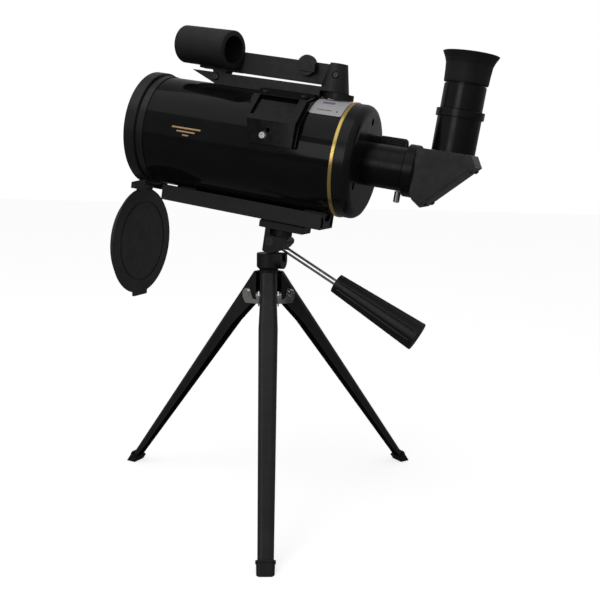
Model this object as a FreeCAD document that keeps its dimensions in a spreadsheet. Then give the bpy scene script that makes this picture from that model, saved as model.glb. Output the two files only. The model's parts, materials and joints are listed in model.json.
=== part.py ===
import FreeCAD
import Part
import math
import os
import Sketcher

# Compact Maksutov-Cassegrain telescope on a table tripod.
# Millimetres, +Z up, feet on Z = 0, the telescope looks toward -X.
# Optical parts are drawn in the tube frame: X runs back along the optical axis, Z is "up" of the tube.

V = FreeCAD.Vector

SIZES = [
    # stand and aim
    ("shift_x", -15.42), ("shift_y", 10.39), ("axis_height", 321.8), ("aim_angle", 8.6),
    # optical tube
    ("tube_radius", 48.6), ("tube_wall", 1.5), ("tube_front", -115.8), ("tube_rear", 74.0),
    ("ring_radius", 51.4), ("ring_front", -119.8), ("ring_rear", -108.8),
    ("lens_radius", 44.1), ("lens_thick", 8.2), ("mirror_radius", 43.0), ("mirror_back", 70.9),
    ("cell_rear", 91.8), ("screw_circle", 35.0), ("trim_radius", 49.4),
    # cap
    ("hinge_x", -121.8), ("hinge_z", -54.0), ("cap_radius", 51.0), ("cap_plate", 1.9), ("cap_droop", 4.0),
    # visual back, diagonal and eyepiece
    ("back_radius", 18.3), ("holder_bore", 15.95), ("barrel_radius", 15.85), ("back_end", 127.2),
    ("eye_axis", 163.1), ("diagonal_half", 18.2), ("socket_top", 54.4),
    # focuser
    ("knob_y", 21.0), ("knob_z", 18.0), ("knob_radius", 7.5), ("knob_length", 24.0),
    # finder
    ("finder_axis", 77.6), ("finder_radius", 16.3), ("finder_bore", 12.1), ("sight_length", 56.7),
    ("sight_end_x", -37.8), ("sight_end_y", -19.2), ("sight_turn", 15.0), ("sight_fall", 1.5),
    ("sight_pivot_x", -55.6), ("sight_pivot_z", 54.0), ("beam_near", -3.5), ("beam_far", 9.5),
    ("arm_half", 12.0), ("height_wheel_x", 57.2), ("dimmer_x", 27.0), ("dimmer_z", 73.8),
    # rail and platform
    ("rail_half", 17.3), ("rail_top", -48.3), ("rail_bottom", -62.2),
    ("rail_front", -93.4), ("rail_rear", 64.5), ("bolt_x", 24.8), ("spare_x", -58.0),
    ("tilt_x", 16.3), ("tilt_z", -82.0), ("tongue_half", 4.4),
    # handle
    ("handle_angle", 29.8), ("rod_radius", 2.9), ("grip_start", 71.0), ("grip_end", 157.0),
    # tripod
    ("hub_radius", 8.7), ("hub_top", 212.3), ("hub_bottom", 182.3), ("pan_radius", 11.1),
    ("pivot_radius", 18.0), ("pivot_height", 190.0), ("leg_spread", 37.4), ("leg_length", 235.0),
    ("first_leg", -67.5),
]


class Dim:
    """A size that carries its number and its formula in spreadsheet names."""

    def __init__(self, number, formula):
        self.number = number
        self.formula = formula

    def join(self, other, sign, number):
        return Dim(number, "(" + self.formula + " " + sign + " " + other.formula + ")")

    def __add__(self, other):
        other = as_dim(other)
        return self.join(other, "+", self.number + other.number)

    def __sub__(self, other):
        other = as_dim(other)
        return self.join(other, "-", self.number - other.number)

    def __rsub__(self, other):
        return as_dim(other) - self

    def __neg__(self):
        return Dim(-self.number, "(0 - " + self.formula + ")")


def as_dim(value):
    if isinstance(value, Dim):
        return value
    text = repr(float(value))
    return Dim(float(value), text if value >= 0 else "(0 - " + repr(-float(value)) + ")")


doc = FreeCAD.newDocument("maksutov_telescope")
sheet = doc.addObject("Spreadsheet::Sheet", "sizes")
for row, (alias, number) in enumerate(SIZES, start=1):
    sheet.set("A%d" % row, alias)
    sheet.set("B%d" % row, str(number))
    sheet.setAlias("B%d" % row, alias)
doc.recompute()


def size(alias):
    return Dim(float(sheet.get(alias)), "sizes." + alias)


def num(alias):
    return float(sheet.get(alias))


NODES = []
BASE = V(num("shift_x"), num("shift_y"), 0)
TUBE = FreeCAD.Placement(BASE + V(0, 0, num("axis_height")), FreeCAD.Rotation(V(0, 1, 0), num("aim_angle")))
STAND = FreeCAD.Placement(BASE, FreeCAD.Rotation())
EYE = TUBE.multiply(FreeCAD.Placement(V(num("eye_axis"), 0, 0), FreeCAD.Rotation()))


def tilt_pivot_world():
    return TUBE.multVec(V(num("tilt_x"), 0, num("tilt_z")))


HANDLE = FreeCAD.Placement(tilt_pivot_world(), FreeCAD.Rotation(V(0, 1, 0), num("handle_angle")))
DROOP = FreeCAD.Rotation(V(0, 1, 0), -num("cap_droop"))
HINGE = TUBE.multiply(FreeCAD.Placement(V(num("hinge_x"), 0, num("hinge_z")), DROOP))
KNOB = TUBE.multiply(FreeCAD.Placement(V(0, num("knob_y"), num("knob_z")), FreeCAD.Rotation()))


# ---------------------------------------------------------------- helpers for sketched parts

def new_body(label, place):
    body = doc.addObject("PartDesign::Body", label)
    body.Label = label
    body.Placement = place
    if place is TUBE:
        body.setExpression("Placement.Base.x", "sizes.shift_x")
        body.setExpression("Placement.Base.y", "sizes.shift_y")
        body.setExpression("Placement.Base.z", "sizes.axis_height")
        body.setExpression("Placement.Rotation.Angle", "sizes.aim_angle")
    NODES.append(body)
    return body


def origin_feature(body, role):
    return [f for f in body.Origin.OriginFeatures if f.Role == role][0]


def new_sketch(body, plane):
    sketch = body.newObject("Sketcher::SketchObject", body.Label + "_sketch")
    sketch.AttachmentSupport = [(origin_feature(body, plane), "")]
    sketch.MapMode = "FlatFace"
    return sketch


def pin_coordinate(sketch, kind, index, position, value):
    """Hold one coordinate of a sketch point at a size from the sheet."""
    value = as_dim(value)
    if abs(value.number) < 1e-9:
        axis = -2 if kind == "DistanceX" else -1
        sketch.addConstraint(Sketcher.Constraint("PointOnObject", index, position, axis))
        return
    where = sketch.addConstraint(Sketcher.Constraint(kind, -1, 1, index, position, value.number))
    sketch.setExpression("Constraints[%d]" % where, value.formula)


def polygon(sketch, points):
    """Closed outline; every corner is held by sizes from the sheet."""
    corners = [(as_dim(a), as_dim(b)) for a, b in points]
    first = sketch.GeometryCount
    total = len(corners)
    for i in range(total):
        start, end = corners[i], corners[(i + 1) % total]
        line = Part.LineSegment(V(start[0].number, start[1].number, 0), V(end[0].number, end[1].number, 0))
        sketch.addGeometry(line, False)
    for i in range(total):
        after = first + (i + 1) % total
        sketch.addConstraint(Sketcher.Constraint("Coincident", first + i, 2, after, 1))
    for i in range(total):
        pin_coordinate(sketch, "DistanceX", first + i, 1, corners[i][0])
        pin_coordinate(sketch, "DistanceY", first + i, 1, corners[i][1])


def circle(sketch, x, y, radius):
    x, y, radius = as_dim(x), as_dim(y), as_dim(radius)
    index = sketch.addGeometry(Part.Circle(V(x.number, y.number, 0), V(0, 0, 1), radius.number), False)
    pin_coordinate(sketch, "DistanceX", index, 3, x)
    pin_coordinate(sketch, "DistanceY", index, 3, y)
    where = sketch.addConstraint(Sketcher.Constraint("Radius", index, radius.number))
    sketch.setExpression("Constraints[%d]" % where, radius.formula)


def turned(label, place, points, axis="H_Axis"):
    """A lathe part: outline in the XZ plane turned about the X axis (or the Z axis with V_Axis)."""
    body = new_body(label, place)
    sketch = new_sketch(body, "XZ_Plane")
    polygon(sketch, points)
    feature = body.newObject("PartDesign::Revolution", label + "_turn")
    feature.Profile = sketch
    feature.ReferenceAxis = (sketch, [axis])
    feature.Angle = 360
    return body


def plate(label, place, points, width, plane="XZ_Plane"):
    """An outline padded equally to both sides of its plane."""
    body = new_body(label, place)
    sketch = new_sketch(body, plane)
    polygon(sketch, points)
    feature = body.newObject("PartDesign::Pad", label + "_pad")
    feature.Profile = sketch
    feature.SideType = "Symmetric"
    width = as_dim(width)
    feature.Length = width.number
    feature.setExpression("Length", width.formula)
    return body


def cut_through(body, plane, draw):
    """Cut the drawn outline right through the body, both ways."""
    before = body.Shape.Volume
    sketch = new_sketch(body, plane)
    draw(sketch)
    feature = body.newObject("PartDesign::Pocket", body.Label + "_cut")
    feature.Profile = sketch
    feature.Type = "ThroughAll"
    feature.SideType = "Symmetric"
    doc.recompute()
    if not body.Shape.Volume < before - 0.01:
        raise RuntimeError("cut does nothing in " + body.Label)
    return feature


def polar(body, feature, axis_role, count):
    pattern = body.newObject("PartDesign::PolarPattern", body.Label + "_pattern")
    pattern.Originals = [feature]
    pattern.Axis = (origin_feature(body, axis_role), [""])
    pattern.Angle = 360
    pattern.Occurrences = count
    body.Tip = pattern
    doc.recompute()
    return pattern


# ---------------------------------------------------------------- helpers for free shapes

def solid_node(label, shape, place):
    node = doc.addObject("Part::Feature", label)
    node.Label = label
    node.Shape = shape
    node.Placement = place.multiply(shape.Placement)
    NODES.append(node)
    return node


def prism(points, start, end, plane="XZ"):
    """A straight prism from outline points; start and end are measured across the plane."""
    if plane == "XZ":
        corners = [V(a, start, b) for a, b in points]
        along = V(0, end - start, 0)
    elif plane == "YZ":
        corners = [V(start, a, b) for a, b in points]
        along = V(end - start, 0, 0)
    else:
        corners = [V(a, b, start) for a, b in points]
        along = V(0, 0, end - start)
    return Part.Face(Part.makePolygon(corners + [corners[0]])).extrude(along)


def rod(radius, start, end):
    start, end = V(*start), V(*end)
    return Part.makeCylinder(radius, (end - start).Length, start, end - start)


def cone(radius_1, radius_2, start, end):
    start, end = V(*start), V(*end)
    return Part.makeCone(radius_1, radius_2, (end - start).Length, start, end - start)


def tube_cut(radius):
    """The space taken by the optical tube, with a little air, in the tube frame."""
    return rod(radius, (-200, 0, 0), (200, 0, 0))


def turn_about(shape, point, axis, angle):
    moved = shape.copy()
    moved.rotate(V(*point), V(*axis), angle)
    return moved


def cross_slot(radius, depth, width, base, axis):
    """A cross recess cutter for a round screw head whose face is at base."""
    base, axis = V(*base), V(*axis)
    cutter = None
    turn = FreeCAD.Rotation(V(0, 0, 1), axis)
    for wide, deep in ((2 * radius, width), (width, 2 * radius)):
        block = Part.makeBox(wide, deep, 2 * depth, V(-wide / 2, -deep / 2, -depth))
        block.Placement = FreeCAD.Placement(base, turn)
        cutter = block if cutter is None else cutter.fuse(block)
    return cutter


def pan_head_screw(head, head_high, shank, length, base, axis):
    """Screw with a domed cross head; base is the face the head rests on, axis points out of the head."""
    base, axis = V(*base), V(*axis)
    axis.normalize()
    top = base + axis * head_high
    shape = Part.makeCone(head, head * 0.72, head_high, base, axis)
    shape = shape.fuse(Part.makeCylinder(shank, length + 0.2, base - axis * length, axis))
    shape = shape.cut(cross_slot(head * 0.5, head_high * 0.55, head * 0.2, tuple(top), tuple(axis)))
    return shape


def toothed_wheel(radius, root, teeth, start, end):
    """A ribbed grip wheel along X with square ribs."""
    wheel = rod(root, (start, 0, 0), (end, 0, 0))
    width = 0.55 * 2 * math.pi * radius / teeth
    for i in range(teeth):
        rib = Part.makeBox(end - start, width, radius - root + 1.0, V(start, -width / 2, root - 1.0))
        wheel = wheel.fuse(turn_about(rib, (0, 0, 0), (1, 0, 0), 360.0 * i / teeth))
    return wheel.removeSplitter()


# ---------------------------------------------------------------- optical tube

def build_main_tube():
    outer, wall = size("tube_radius"), size("tube_wall")
    front, rear = size("tube_front"), size("tube_rear")
    turned("main_tube", TUBE, [(front, outer), (rear, outer), (rear, outer - wall), (front, outer - wall)])


def build_front_ring():
    """Front casting: mouth, lens seat, outer skirt over the tube and two hinge lugs below."""
    ring, tube = num("ring_radius"), num("tube_radius")
    front, rear, lens = num("ring_front"), num("ring_rear"), num("lens_radius")
    outline = [(front, 45.3), (front, ring - 0.8), (front + 0.8, ring), (rear - 0.6, ring), (rear, ring - 0.6)]
    outline += [(rear, tube + 0.7), (rear + 7.3, tube + 0.7), (rear + 7.3, tube + 0.02)]
    outline += [(front + 3.9, tube + 0.02), (front + 3.9, tube - 1.52), (-98.8, tube - 1.52), (-98.8, 41.5)]
    outline += [(-100.8, 41.5), (-100.8, lens + 0.1), (-109.9, lens + 0.1), (-109.9, 45.3)]
    face = Part.Face(Part.makePolygon([V(x, 0, r) for x, r in outline + [outline[0]]]))
    shape = face.revolve(V(0, 0, 0), V(1, 0, 0), 360)
    x, z = num("hinge_x"), num("hinge_z")
    bore = rod(1.55, (x, -30, z), (x, 30, z))
    mouth = rod(ring - 0.5, (front - 10, 0, 0), (rear, 0, 0))
    for side in (-1, 1):
        lug = prism([(x - 3, z - 3), (x + 9.0, z - 3), (rear - 1, z + 2), (rear - 1, z + 8), (x - 3, z + 2.6)],
                    side * 13.6, side * 20.4)
        shape = shape.fuse(lug.cut(mouth).cut(bore))
    solid_node("front_ring", shape.removeSplitter(), TUBE)


def build_corrector():
    """Deep meniscus lens, hollow side to the sky, with its ring and the small mirror behind it."""
    radius, rim = num("lens_radius"), -109.9
    front_curve, back_curve = 140.0, 145.0
    thick = num("lens_thick")
    front_sag = front_curve - math.sqrt(front_curve ** 2 - radius ** 2)
    back_sag = back_curve - math.sqrt(back_curve ** 2 - radius ** 2)
    blank = rod(radius, (rim - 1, 0, 0), (rim + thick + 12, 0, 0))
    back = Part.makeSphere(back_curve, V(rim + thick + back_sag - back_curve, 0, 0))
    front = Part.makeSphere(front_curve, V(rim + front_sag - front_curve, 0, 0))
    lens = blank.common(back).cut(front)
    solid_node("corrector_lens", lens, TUBE)
    turned("corrector_retainer", TUBE,
           [(-113.6, 45.15), (-109.95, 45.15), (-109.95, 41.0), (-111.4, 40.2), (-113.6, 41.0)])
    spot = rim + thick + back_sag
    turned("secondary_mirror", TUBE,
           [(spot + 0.3, 0), (spot + 0.3, 13.2), (spot + 26, 16.2), (spot + 26, 15.4), (spot + 1.6, 12.3),
            (spot + 1.6, 0)])


def build_rear_cell():
    """Rear casting: spigot inside the tube, rounded shoulder and flat back with three screw recesses."""
    outer, rear = size("tube_radius"), size("cell_rear")
    inside = outer - size("tube_wall") - 0.05
    body = turned("rear_cell", TUBE, [
        (68.0, inside), (77.4, inside), (77.4, outer), (rear - 6.0, outer), (rear - 3.6, outer - 0.7),
        (rear - 1.6, outer - 2.2), (rear - 0.5, outer - 4.2), (rear, outer - 6.6), (rear, 15.0),
        (rear - 4.5, 15.0), (rear - 4.5, 44.0), (rear - 8.0, 45.0), (68.0, 45.0)])
    doc.recompute()
    start = math.radians(93.5)
    radius = num("screw_circle")
    cut = cut_through(body, "YZ_Plane", lambda sketch: circle(
        sketch, radius * math.cos(start), radius * math.sin(start), 3.2))
    polar(body, cut, "X_Axis", 3)
    boss = new_sketch(body, "YZ_Plane")
    circle(boss, size("knob_y"), size("knob_z"), 6.6)
    pad = body.newObject("PartDesign::Pad", "rear_cell_boss")
    pad.Profile = boss
    pad.SideType = "Two sides"
    pad.setExpression("Length", (rear + 2.8).formula)
    pad.setExpression("Length2", (4.5 - rear).formula)
    doc.recompute()
    cut_through(body, "YZ_Plane", lambda sketch: circle(sketch, size("knob_y"), size("knob_z"), 2.56))


def build_trim_ring():
    rear, outer = size("tube_rear"), size("trim_radius")
    turned("gold_trim_ring", TUBE, [
        (rear + 0.05, outer - 0.4), (rear + 0.45, outer), (rear + 2.95, outer), (rear + 3.35, outer - 0.4),
        (rear + 3.35, 47.1), (rear + 0.05, 47.1)])


def build_collimation_screws():
    """Three socket head screws with washers in the recesses of the rear cell."""
    radius, rear = num("screw_circle"), num("cell_rear")
    screws = []
    for i in range(3):
        angle = math.radians(93.5 + 120 * i)
        y, z = radius * math.cos(angle), radius * math.sin(angle)
        shape = rod(3.15, (rear - 4.4, y, z), (rear - 3.4, y, z)).fuse(rod(2.5, (rear - 3.4, y, z), (rear - 1.2, y, z)))
        shape = shape.fuse(rod(1.5, (rear - 10.5, y, z), (rear - 4.4, y, z)))
        socket = Part.makeCylinder(1.3, 1.8, V(rear - 2.4, y, z), V(1, 0, 0))
        screws.append(shape.cut(socket))
    solid_node("collimation_screws", Part.makeCompound(screws), TUBE)


def build_primary():
    """Main mirror on its sliding carrier with a clamp collar in front, baffle tube through the middle."""
    radius, back = num("mirror_radius"), num("mirror_back")
    curve = 400.0
    sag = curve - math.sqrt(curve ** 2 - radius ** 2)
    blank = rod(radius, (back - 9.0, 0, 0), (back, 0, 0)).cut(rod(14.1, (0, 0, 0), (100, 0, 0)))
    hollow = Part.makeSphere(curve, V(back - 9.0 + sag - curve, 0, 0))
    solid_node("primary_mirror", blank.cut(hollow), TUBE)
    clamp = rod(17.0, (61.2, 0, 0), (63.6, 0, 0))
    carrier = rod(14.0, (56, 0, 0), (80, 0, 0)).fuse(clamp).fuse(rod(40.0, (back + 0.05, 0, 0), (back + 2.6, 0, 0)))
    y, z = num("knob_y"), num("knob_z")
    carrier = carrier.fuse(rod(5.0, (back + 2.0, y, z), (82, y, z)))
    carrier = carrier.cut(rod(11.56, (0, 0, 0), (120, 0, 0))).cut(rod(2.56, (back - 1, y, z), (90, y, z)))
    solid_node("mirror_carrier", carrier, TUBE)
    turned("baffle_tube", TUBE, [
        (-20.0, 9.6), (40.0, 10.6), (40.0, 11.5), (84.8, 11.5), (84.8, 20.0), (87.25, 20.0), (87.25, 10.2),
        (40.0, 9.9), (-20.0, 8.9)])


def build_focuser():
    """Focus knob behind the cell; its screw pushes the mirror carrier."""
    rear = size("cell_rear")
    turned("focus_screw", KNOB, [
        (75.5, 0), (75.5, 2.1), (75.9, 2.5), (114.0, 2.5), (114.0, 0)])
    start = rear.number + 3.2
    end = start + num("knob_length")
    radius = num("knob_radius")
    wheel = toothed_wheel(radius, radius - 0.7, 30, start + 1.6, end - 1.6)
    wheel = wheel.fuse(cone(radius - 1.0, radius, (start, 0, 0), (start + 1.6, 0, 0)))
    wheel = wheel.fuse(cone(radius, radius - 1.0, (end - 1.6, 0, 0), (end, 0, 0)))
    wheel = wheel.cut(rod(2.5, (start - 5, 0, 0), (114.02, 0, 0))).cut(rod(5.0, (end - 0.6, 0, 0), (end + 1, 0, 0)))
    solid_node("focus_knob", wheel, KNOB)


def build_visual_back():
    """Short holder tube behind the cell with a clamp screw from below."""
    rear, end, outer = size("cell_rear"), size("back_end"), size("back_radius")
    bore = size("holder_bore")
    body = turned("visual_back", TUBE, [
        (rear - 4.4, 12.6), (rear - 4.4, 14.95), (rear + 0.05, 14.95), (rear + 0.05, outer), (end - 0.6, outer),
        (end, outer - 0.6), (end, bore), (rear + 8.0, bore), (rear + 8.0, 12.6)])
    doc.recompute()
    screw_hole(body, "XY_Plane", end - 4.2, 0)


def screw_hole(body, plane, x, y):
    """Clamp screw hole through one wall, from the middle outward."""
    sketch = new_sketch(body, plane)
    circle(sketch, x, y, 1.6)
    feature = body.newObject("PartDesign::Pocket", body.Label + "_screw_hole")
    feature.Profile = sketch
    feature.Length = 30
    before = body.Shape.Volume
    doc.recompute()
    if not body.Shape.Volume < before - 0.01:
        raise RuntimeError("the clamp screw hole misses " + body.Label)


def thumbscrew(head_start, head_end, tip, base, axis):
    """Chrome clamp pin: thin shank into the wall, plain knob outside. Lengths run from base along axis."""
    shape = rod(1.5, (tip, 0, 0), (head_start + 0.5, 0, 0))
    knob = rod(2.75, (head_start, 0, 0), (head_end - 0.7, 0, 0))
    knob = knob.fuse(cone(2.75, 1.9, (head_end - 0.7, 0, 0), (head_end, 0, 0)))
    for i in range(3):
        start = head_start + 1.6 + 2.6 * i
        groove = rod(3.2, (start, 0, 0), (start + 0.35, 0, 0)).cut(rod(2.55, (start - 1, 0, 0), (start + 1, 0, 0)))
        knob = knob.cut(groove)
    shape = shape.fuse(knob)
    shape.Placement = FreeCAD.Placement(V(*base), FreeCAD.Rotation(V(1, 0, 0), V(*axis)))
    return shape


def build_thumbscrews():
    x = num("back_end") - 4.2
    solid_node("visual_back_thumbscrew", thumbscrew(18.8, 28.2, 16.1, (x, 0, 0), (0, 0, -1)), TUBE)
    solid_node("socket_thumbscrew", thumbscrew(20.2, 29.5, 16.1, (num("eye_axis"), 0, 51.3), (0, 1, 0)), TUBE)


# ---------------------------------------------------------------- lens cap

def build_lens_cap():
    """Cap hanging open below the ring: plate with a round groove, inner skirt, strap, knuckle, thumb tab."""
    radius, plate_thick = num("cap_radius"), num("cap_plate")
    centre = num("hinge_z")
    outer_face, inner_face = 0.2, 0.2 - plate_thick
    disc = rod(radius, (inner_face, 0, centre), (outer_face - 0.4, 0, centre))
    disc = disc.fuse(cone(radius, radius - 0.5, (outer_face - 0.4, 0, centre), (outer_face, 0, centre)))
    groove = rod(39.0, (outer_face - 0.8, 0, centre), (outer_face + 1, 0, centre))
    groove = groove.cut(rod(37.2, (outer_face - 1, 0, centre), (outer_face + 2, 0, centre)))
    disc = disc.cut(groove)
    skirt = rod(44.7, (inner_face - 5.4, 0, centre), (inner_face + 0.2, 0, centre))
    skirt = skirt.cut(rod(43.2, (inner_face - 6, 0, centre), (inner_face, 0, centre)))
    strap = Part.makeBox(plate_thick, 26, 16, V(inner_face, -13, -16))
    knuckle = rod(3.0, (0, -13, 0), (0, 13, 0))
    edge = centre - radius
    tab = prism([(-12, edge + 4), (12, edge + 4), (12, edge - 1.4), (11.2, edge - 2.4), (-11.2, edge - 2.4),
                 (-12, edge - 1.4)], inner_face, outer_face, "YZ")
    shape = disc.fuse([skirt, strap, knuckle, tab]).cut(rod(1.55, (0, -20, 0), (0, 20, 0)))
    solid_node("lens_cap", shape.removeSplitter(), HINGE)
    solid_node("cap_hinge_pin", rod(1.5, (0, -20.6, 0), (0, 20.6, 0)), HINGE)


# ---------------------------------------------------------------- diagonal and eyepiece

def housing_outline(inset):
    """Side view of the diagonal housing; the long slanted side lies at 45 degrees."""
    return [(136.8 + inset, 20.2 - inset), (136.8 + inset, -17.5 + 0.4 * inset), (139.6 + inset, -22.2 + inset),
            (145.8 + inset * 0.6, -26.5 + inset), (185.3 - inset * 0.6, 13.0 - inset), (181.2 - inset, 20.2 - inset)]


def build_diagonal():
    half, axis = num("diagonal_half"), num("eye_axis")
    shell = prism(housing_outline(0.0), -half, half)
    room = prism([(139.8, 17.2), (139.8, -17.0), (146.5, -27.0), (185.5, 12.0), (178.6, 17.2)],
                 -half + 3.0, half - 3.0)
    shell = shell.cut(room)
    shell = shell.cut(rod(14.0, (130, 0, 0), (142, 0, 0))).cut(rod(14.0, (axis, 0, 10), (axis, 0, 30)))
    solid_node("diagonal_housing", shell, TUBE)
    slope = V(1, 0, 1).normalize()
    out = V(1, 0, -1).normalize()
    start = V(145.9, 0, -26.6) + out * 0.05
    end = V(185.4, 0, 12.9) + out * 0.05
    corners = [start, end, end + out * 2.0 - slope * 0.6, start + out * 2.0 + slope * 0.6]
    cover = prism([(p.x, p.z) for p in corners], -half, half)
    seat = [V(152.0, 0, -11.1) + out * 0.1, V(174.2, 0, 11.1) + out * 0.1, V(174.2, 0, 11.1) + out * 7.2,
            V(152.0, 0, -11.1) + out * 7.2]
    cover = cover.fuse(prism([(p.x, p.z) for p in seat], -12.0, 12.0))
    screws = []
    for along in (5.5, (end - start).Length - 5.5):
        for side in (-1, 1):
            spot = start + slope * along + out * 2.05 + V(0, side * (half - 4.5), 0)
            screws.append(pan_head_screw(2.1, 1.3, 0.9, 1.5, tuple(spot), tuple(out)))
    solid_node("diagonal_cover_plate", cover.removeSplitter().cut(screws), TUBE)
    solid_node("diagonal_cover_screws", Part.makeCompound(screws), TUBE)
    glass = prism([(148.6, 14.5), (148.6, -14.5), (177.6, 14.5)], -14.5, 14.5)
    solid_node("diagonal_prism", glass, TUBE)
    turned("diagonal_nosepiece", TUBE, [
        (104.0, 14.0), (104.0, size("barrel_radius") - 0.5), (104.5, size("barrel_radius")),
        (127.5, size("barrel_radius")), (127.5, 21.4), (128.1, 22.0), (135.8, 22.0), (136.4, 21.4),
        (136.75, 21.4), (136.75, 14.0)])


def build_eyepiece():
    """Socket on the housing, push-in eyepiece with two lenses and a flared rubber cup."""
    top, bore, barrel = size("socket_top"), size("holder_bore"), size("barrel_radius")
    socket = turned("eyepiece_socket", EYE, [
        (bore, top), (19.3, top), (19.7, top - 0.4), (19.7, top - 5.8), (19.3, top - 6.2), (18.0, top - 6.2),
        (18.0, 20.25), (14.0, 20.25), (14.0, 23.0), (bore, 23.0)], "V_Axis")
    doc.recompute()
    screw_hole(socket, "XZ_Plane", 0, top - 3.1)
    turned("eyepiece_barrel", EYE, [
        (barrel - 0.5, 25.6), (barrel, 26.1), (barrel, top + 0.2), (13.8, top + 0.2), (13.8, 52.0), (14.6, 52.0),
        (14.6, 25.6)], "V_Axis")
    turned("eyepiece_body", EYE, [
        (17.0, top + 0.25), (17.2, top + 0.6), (17.2, 74.0), (16.9, 74.3), (16.0, 74.3), (16.0, 75.3),
        (16.5, 75.3), (16.5, 86.0), (15.9, 86.6), (10.2, 86.6), (9.4, 85.4), (9.4, 81.8), (12.6, 81.8),
        (12.6, top + 0.25)], "V_Axis")
    field = rod(12.5, (0, 0, 57), (0, 0, 66)).common(Part.makeSphere(40, V(0, 0, 26)))
    field = field.common(Part.makeSphere(60, V(0, 0, 118)))
    eye = rod(9.3, (0, 0, 80), (0, 0, 86)).common(Part.makeSphere(34, V(0, 0, 51.6)))
    eye = eye.common(Part.makeSphere(45, V(0, 0, 126.9)))
    solid_node("eyepiece_lenses", Part.makeCompound([field, eye]), EYE)
    turned("eyecup", EYE, [
        (16.6, 75.6), (17.9, 75.6), (18.2, 77.0), (18.5, 84.0), (19.1, 90.5), (20.4, 94.2), (22.9, 98.9),
        (22.0, 99.3), (19.4, 95.0), (18.0, 91.0), (17.3, 87.2), (11.5, 87.2), (11.5, 86.65), (16.6, 86.65)],
        "V_Axis")


# ---------------------------------------------------------------- finder

def build_finder_saddle():
    """Moulded saddle wrapped over the near side of the tube, with a recess and a foot rib."""
    inside = num("tube_radius") + 0.05
    front, rear = -6.5, 42.5
    crown = rod(inside + 1.9, (front, 0, 0), (rear, 0, 0))
    crown = crown.common(Part.makeBox(60, 27, 60, V(front - 1, -13.0, 20)))
    block = prism([(-12.4, 47.6), (-12.4, 50.2), (-16.0, 50.2), (-33.5, 44.0), (-53.6, 23.0), (-54.8, 3.6),
                   (-40, 3.6), (-30, 20)], front, rear, "YZ")
    recess = prism([(-34.0, 44.0), (-37.0, 48.0), (-56.0, 28.0), (-50.4, 26.9), (-47.6, 25.6), (-31.6, 41.8)],
                   front + 6, rear - 7, "YZ")
    rib = prism([(-20.0, 45.2), (-30.5, 42.6), (-49.6, 22.0), (-51.6, 4.6), (-40, 4.6), (-30, 20)],
                rear - 0.5, rear + 2.0, "YZ")
    shape = crown.fuse([block, rib]).cut(recess).cut(tube_cut(inside))
    notch = prism([(front - 1, 0), (front + 7.5, 0), (front + 7.0, 16.0), (front + 2.0, 36.0), (front - 1, 40.0)],
                  -70, -30)
    shape = shape.cut(notch)
    shape = shape.cut(rod(1.7, (19.5, -45, 15.4), (19.5, -60, 15.4)))
    screws = [pan_head_screw(3.6, 1.8, 1.6, 4.0, (15.5, -54.35, 10.5), (0, -1, 0.06))]
    for x in (0.0, 35.5):
        screws.append(pan_head_screw(2.6, 1.2, 1.2, 4.0, (x, -25.6, 46.9), (0, -0.33, 0.94)))
    solid_node("finder_saddle", shape.removeSplitter().cut(screws), TUBE)
    solid_node("saddle_screws", Part.makeCompound(screws), TUBE)


def build_finder_arm():
    """Lower arm of the finder: channel bar on the saddle with a rounded rear post that leans back."""
    half = num("arm_half")
    pivot_x, pivot_z = num("sight_pivot_x"), num("sight_pivot_z")
    wheel_x = num("height_wheel_x")
    top = 57.8
    bar = prism([(-79.4, top - 0.3), (-46.0, 44.0), (53.5, 44.0), (53.5, top), (-78.6, top)], -half, half)
    post = cone(half + 1.2, half - 3.5, (52.5, 0, 54.6), (52.5, 0, 78.6))
    post = post.common(prism([(42.9, top), (48.0, 78.8), (90, 78.8), (90, 40), (42.9, 40)], -20, 20))
    shape = bar.fuse(post)
    shape = shape.cut(tube_cut(num("tube_radius") + 0.3))
    shape = shape.cut(rod(num("tube_radius") + 2.1, (-11.4, 0, 0), (44.6, 0, 0)))
    shape = shape.cut(Part.makeBox(30.0, 40, 12, V(43.8, -20, 42.6)))
    slot = Part.makeBox(108, 13.0, 9.6, V(-66, -6.5, 50.0))
    shape = shape.cut(slot)
    shape = shape.cut(rod(2.55, (pivot_x, -30, pivot_z), (pivot_x, 30, pivot_z)))
    shape = shape.cut(rod(2.05, (wheel_x, 0, 40), (wheel_x, 0, 72.0)))
    screw = pan_head_screw(2.9, 1.3, 1.45, 2.6, (54.8, -9.2, 68.7), (0, -1, 0))
    pin = rod(2.5, (pivot_x, -half, pivot_z), (pivot_x, half, pivot_z))
    pin = pin.fuse(pan_head_screw(3.4, 1.3, 2.0, 2.0, (pivot_x, -half, pivot_z), (0, -1, 0)))
    pin = pin.fuse(rod(3.4, (pivot_x, half, pivot_z), (pivot_x, half + 1.0, pivot_z)))
    shape = shape.cut(rod(2.95, (54.8, -30, 68.7), (54.8, -9.2, 68.7)))
    shape = shape.cut(rod(1.5, (54.8, -9.3, 68.7), (54.8, -6.4, 68.7)))
    solid_node("finder_arm", shape.removeSplitter(), TUBE)
    solid_node("finder_arm_screws", Part.makeCompound([pin, screw]), TUBE)
    wheel = toothed_wheel(13.2, 12.7, 40, 49.3, 54.1)
    wheel = turn_about(wheel, (0, 0, 0), (0, 1, 0), -90)
    wheel.translate(V(wheel_x, 0, 0))
    wheel = wheel.fuse(rod(2.0, (wheel_x, 0, 53.0), (wheel_x, 0, 68.0)))
    solid_node("finder_height_wheel", wheel, TUBE)


def sight_point(along):
    """A point on the sight tube's axis, which is turned about 15 degrees from the main tube's."""
    end = V(num("sight_end_x"), num("sight_end_y"), num("finder_axis"))
    turn, fall = math.radians(num("sight_turn")), math.radians(num("sight_fall"))
    back = V(math.cos(turn) * math.cos(fall), -math.sin(turn) * math.cos(fall), -math.sin(fall))
    return end - back * along


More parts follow.
